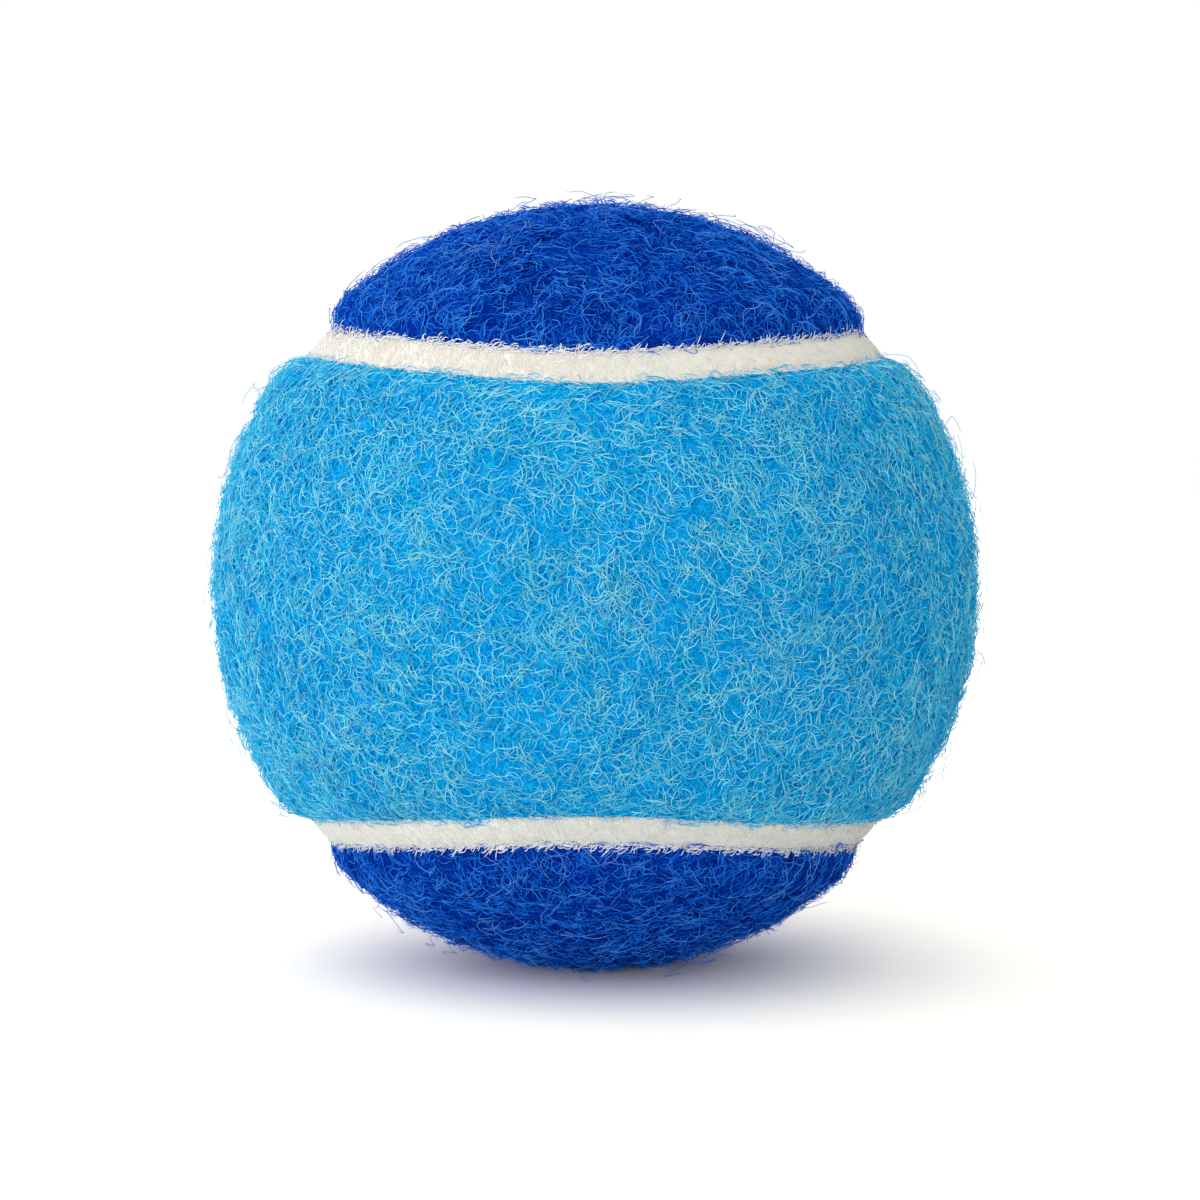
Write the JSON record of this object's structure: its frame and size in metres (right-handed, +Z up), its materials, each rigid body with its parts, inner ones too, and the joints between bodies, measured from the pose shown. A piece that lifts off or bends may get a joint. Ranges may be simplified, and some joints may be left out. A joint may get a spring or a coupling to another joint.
{
  "type": "felt-covered toy ball",
  "caption": "Round play ball: a hollow rubber core under long-nap felt in sky blue and royal blue, with a cream seam.",
  "frame": {"origin": "centre of the ball", "axes": "+Z up, square to the core's joint, out of the middle of one lobe of the royal-blue panel; +X right, out of the middle of one lobe of the sky-blue panel; -Y out of the waist of the sky-blue panel, towards the camera"},
  "size_m": [0.065, 0.065, 0.065],
  "materials": {
    "sky_blue_felt": "matte",
    "royal_blue_felt": "matte",
    "cream_seam_rubber": "matte",
    "core_rubber": "matte",
    "rubber_cement": "satin"
  },
  "bodies": {
    "root": {"felt_panel_sky_blue": "sky_blue_felt", "felt_panel_royal_blue": "royal_blue_felt", "seam_strip": "cream_seam_rubber", "core_half_upper": "core_rubber", "core_half_lower": "core_rubber", "core_bond_ring": "rubber_cement"}
  },
  "joints": []
}
